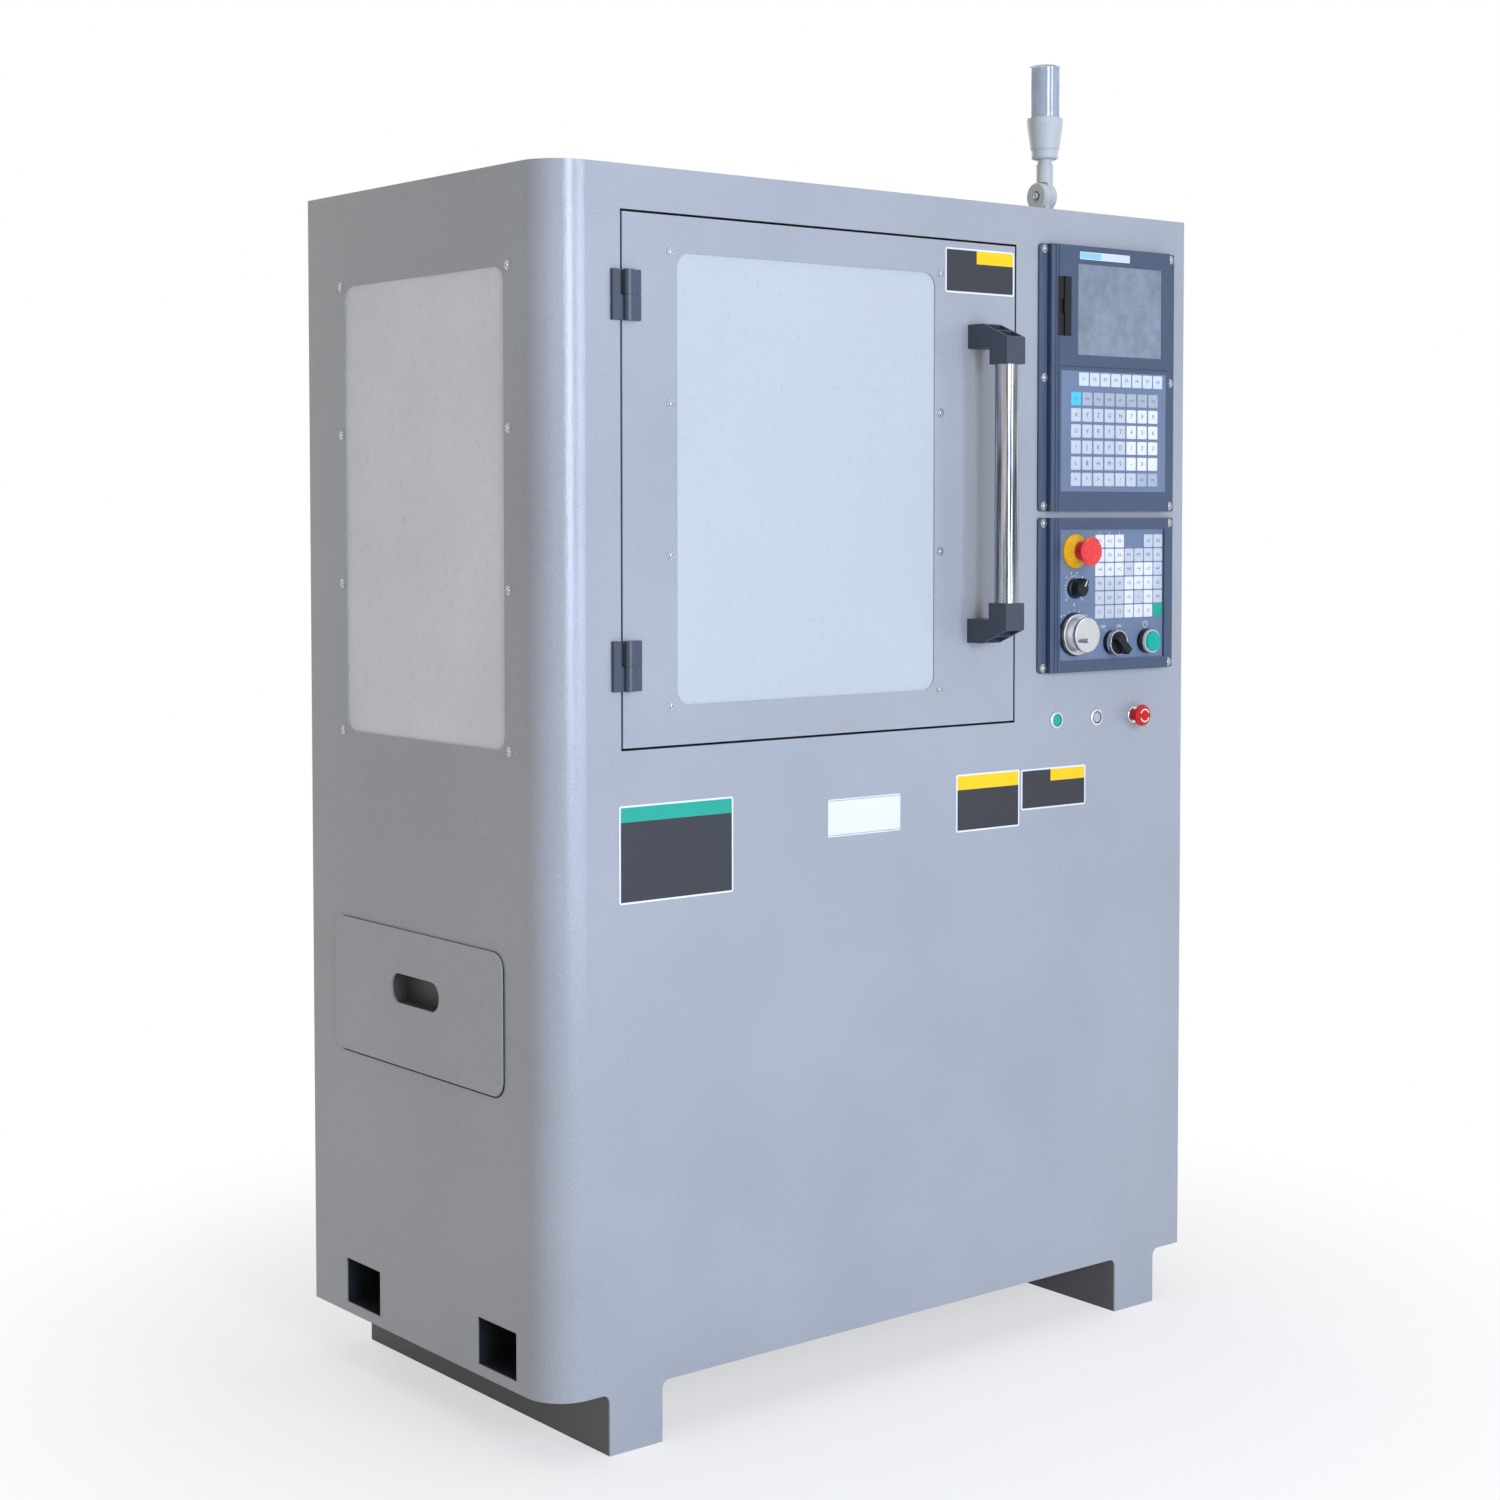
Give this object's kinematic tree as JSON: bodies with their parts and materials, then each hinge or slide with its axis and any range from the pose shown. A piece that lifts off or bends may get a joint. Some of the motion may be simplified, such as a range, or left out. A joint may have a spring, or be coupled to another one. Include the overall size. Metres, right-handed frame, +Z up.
{
  "type": "cnc machining center",
  "caption": "Enclosed upright milling machine in a folded sheet cabinet with a hinged window door, control panel, chip drawer, signal lamp and a three-axis table and spindle inside.",
  "frame": {"origin": "on the floor, below the middle of the part's outline", "axes": "+X to the right seen from the front, +Y to the back, +Z up"},
  "size_m": [1.043, 0.615, 1.6767],
  "materials": {
    "painted_sheet": "fine powder coat",
    "frame_paint": "satin paint",
    "liner_paint": "satin paint",
    "zinc_steel": "zinc plated",
    "pane": "opal acrylic",
    "screw_steel": "plated",
    "black_moulding": "fine texture",
    "handle_steel": "brushed",
    "hinge_black": "satin black",
    "panel_extrusion": "blue-grey anodised",
    "screen": "glossy",
    "key_sheet": "membrane film",
    "black_plastic": "satin",
    "yellow_plastic": "gloss",
    "red_plastic": "gloss",
    "dial_metal": "turned",
    "green_plastic": "gloss",
    "grey_plastic": "gloss",
    "bright_collar": "polished",
    "lamp_white": "gloss",
    "lamp_clear": "clear",
    "casting_paint": "painted",
    "table_iron": "ground",
    "ground_steel": "ground",
    "motor_black": "satin black",
    "arm_paint": "satin paint",
    "drum_metal": "machined",
    "gear_paint": "satin paint"
  },
  "bodies": {
    "cabinet": {"feet": "frame_paint", "fork_tubes": "frame_paint", "front_wrap": "painted_sheet", "right_panel": "painted_sheet", "rear_panel": "painted_sheet", "rear_cover": "painted_sheet", "roof_panel": "painted_sheet", "splash_tray": "liner_paint", "stand_frame": "frame_paint", "drawer_runners": "zinc_steel", "side_window": "pane", "cabinet_screws": "screw_steel", "hinge_frame_leaves": "hinge_black", "display_bezel": "panel_extrusion", "display_screen": "screen", "display_keypad": "key_sheet", "operator_bezel": "panel_extrusion", "operator_keypad": "key_sheet", "estop_ring": "yellow_plastic", "handwheel_base": "black_plastic", "switch_bodies": "black_plastic", "power_collars": "bright_collar", "lamp_base": "lamp_white", "base_casting": "casting_paint", "column": "casting_paint", "axis_motors": "motor_black", "drum_beam": "casting_paint", "control_gear": "gear_paint"},
    "door": {"door_panel": "painted_sheet", "door_window": "pane", "door_window_screws": "screw_steel", "handle_brackets": "black_moulding", "handle_tube": "handle_steel", "hinge_door_leaves": "hinge_black"},
    "drawer": {"chip_drawer": "painted_sheet"},
    "port": {"port_cover": "black_plastic"},
    "estop_plunger": {"estop_stem": "red_plastic"},
    "estop_cap": {"estop_head": "red_plastic"},
    "stop_plunger": {"stop_stem": "red_plastic"},
    "stop_cap": {"stop_head": "red_plastic"},
    "override": {"override_knob": "black_plastic"},
    "wheel": {"handwheel": "dial_metal"},
    "selector": {"selector_lever": "black_plastic"},
    "start": {"start_button": "green_plastic"},
    "power_on": {"power_on_button": "green_plastic"},
    "power_off": {"power_off_button": "grey_plastic"},
    "lamp": {"lamp_arm": "lamp_white", "lamp_cup": "lamp_white", "lamp_lens": "lamp_clear"},
    "saddle": {"saddle": "casting_paint"},
    "table": {"table": "table_iron", "x_motor": "motor_black"},
    "x_screw": {"x_screw": "ground_steel"},
    "y_screw": {"y_screw": "ground_steel"},
    "z_screw": {"z_screw": "ground_steel"},
    "head": {"spindle_head": "casting_paint", "spindle_motor": "motor_black"},
    "spindle": {"spindle": "ground_steel"},
    "magazine": {"drum_carriage": "arm_paint"},
    "drum": {"tool_drum": "drum_metal"}
  },
  "joints": [
    {"name": "door_hinge", "type": "hinge", "parent": "cabinet", "child": "door", "pos_m": [-0.4135, -0.244, 1.115], "axis": [0, 0, -1], "range_deg": [0, 110]},
    {"name": "drawer_slide", "type": "slide", "parent": "cabinet", "child": "drawer", "axis": [-1, 0, 0], "range_m": [0, 0.5]},
    {"name": "port_hinge", "type": "hinge", "parent": "cabinet", "child": "port", "pos_m": [0.267, -0.249, 1.3465], "axis": [0, 0, -1], "range_deg": [0, 95]},
    {"name": "estop_push", "type": "slide", "parent": "cabinet", "child": "estop_plunger", "axis": [0, 1, 0], "range_m": [0, 0.005]},
    {"name": "estop_twist", "type": "hinge", "parent": "estop_plunger", "child": "estop_cap", "pos_m": [0.3019, -0.2675, 1.0285], "axis": [0, 1, 0], "range_deg": [0, 45], "stiffness_Nm_per_rad": 0.05},
    {"name": "stop_push", "type": "slide", "parent": "cabinet", "child": "stop_plunger", "axis": [0, 1, 0], "range_m": [0, 0.005]},
    {"name": "stop_twist", "type": "hinge", "parent": "stop_plunger", "child": "stop_cap", "pos_m": [0.425, -0.2525, 0.8077], "axis": [0, 1, 0], "range_deg": [0, 45], "stiffness_Nm_per_rad": 0.02},
    {"name": "override_turn", "type": "hinge", "parent": "cabinet", "child": "override", "pos_m": [0.3019, -0.2525, 0.9797], "axis": [0, 1, 0], "range_deg": [-135, 135]},
    {"name": "wheel_turn", "type": "hinge", "parent": "cabinet", "child": "wheel", "pos_m": [0.3019, -0.2575, 0.9195], "axis": [0, 1, 0], "continuous": true},
    {"name": "selector_turn", "type": "hinge", "parent": "cabinet", "child": "selector", "pos_m": [0.373, -0.2575, 0.907], "axis": [0, 1, 0], "range_deg": [-45, 45]},
    {"name": "start_push", "type": "slide", "parent": "cabinet", "child": "start", "axis": [0, 1, 0], "range_m": [0, 0.003], "stiffness_N_per_m": 400},
    {"name": "power_on_push", "type": "slide", "parent": "cabinet", "child": "power_on", "axis": [0, 1, 0], "range_m": [0, 0.003], "stiffness_N_per_m": 400},
    {"name": "power_off_push", "type": "slide", "parent": "cabinet", "child": "power_off", "axis": [0, 1, 0], "range_m": [0, 0.003], "stiffness_N_per_m": 400},
    {"name": "lamp_tilt", "type": "hinge", "parent": "cabinet", "child": "lamp", "pos_m": [0.3545, -0.1375, 1.5027], "axis": [1, 0, 0], "range_deg": [-90, 90]},
    {"name": "y_slide", "type": "slide", "parent": "cabinet", "child": "saddle", "axis": [0, 1, 0], "range_m": [-0.045, 0.045]},
    {"name": "x_slide", "type": "slide", "parent": "saddle", "child": "table", "axis": [1, 0, 0], "range_m": [-0.085, 0.085]},
    {"name": "z_slide", "type": "slide", "parent": "cabinet", "child": "head", "axis": [0, 0, 1], "range_m": [-0.18, 0]},
    {"name": "spindle_turn", "type": "hinge", "parent": "head", "child": "spindle", "pos_m": [-0.1385, 0.0025, 1.16], "axis": [0, 0, 1], "continuous": true},
    {"name": "magazine_slide", "type": "slide", "parent": "cabinet", "child": "magazine", "axis": [1, 0, 0], "range_m": [0, 0.13]},
    {"name": "drum_turn", "type": "hinge", "parent": "magazine", "child": "drum", "pos_m": [-0.3585, 0.0025, 1.076], "axis": [0, 0, 1], "continuous": true},
    {"name": "x_screw_turn", "type": "hinge", "parent": "table", "child": "x_screw", "pos_m": [-0.1385, 0.0025, 0.8353], "axis": [1, 0, 0], "range_deg": [-3100, 3100]},
    {"name": "y_screw_turn", "type": "hinge", "parent": "cabinet", "child": "y_screw", "pos_m": [-0.1385, 0.0025, 0.76], "axis": [0, 1, 0], "range_deg": [-1650, 1650]},
    {"name": "z_screw_turn", "type": "hinge", "parent": "cabinet", "child": "z_screw", "pos_m": [-0.1385, 0.1455, 1], "axis": [0, 0, 1], "range_deg": [-6500, 10]}
  ],
  "couplings": [
    {"joint": "x_screw_turn", "follows": "x_slide", "rad_per_m": 628.32},
    {"joint": "y_screw_turn", "follows": "y_slide", "rad_per_m": 628.32},
    {"joint": "z_screw_turn", "follows": "z_slide", "rad_per_m": 628.32}
  ]
}
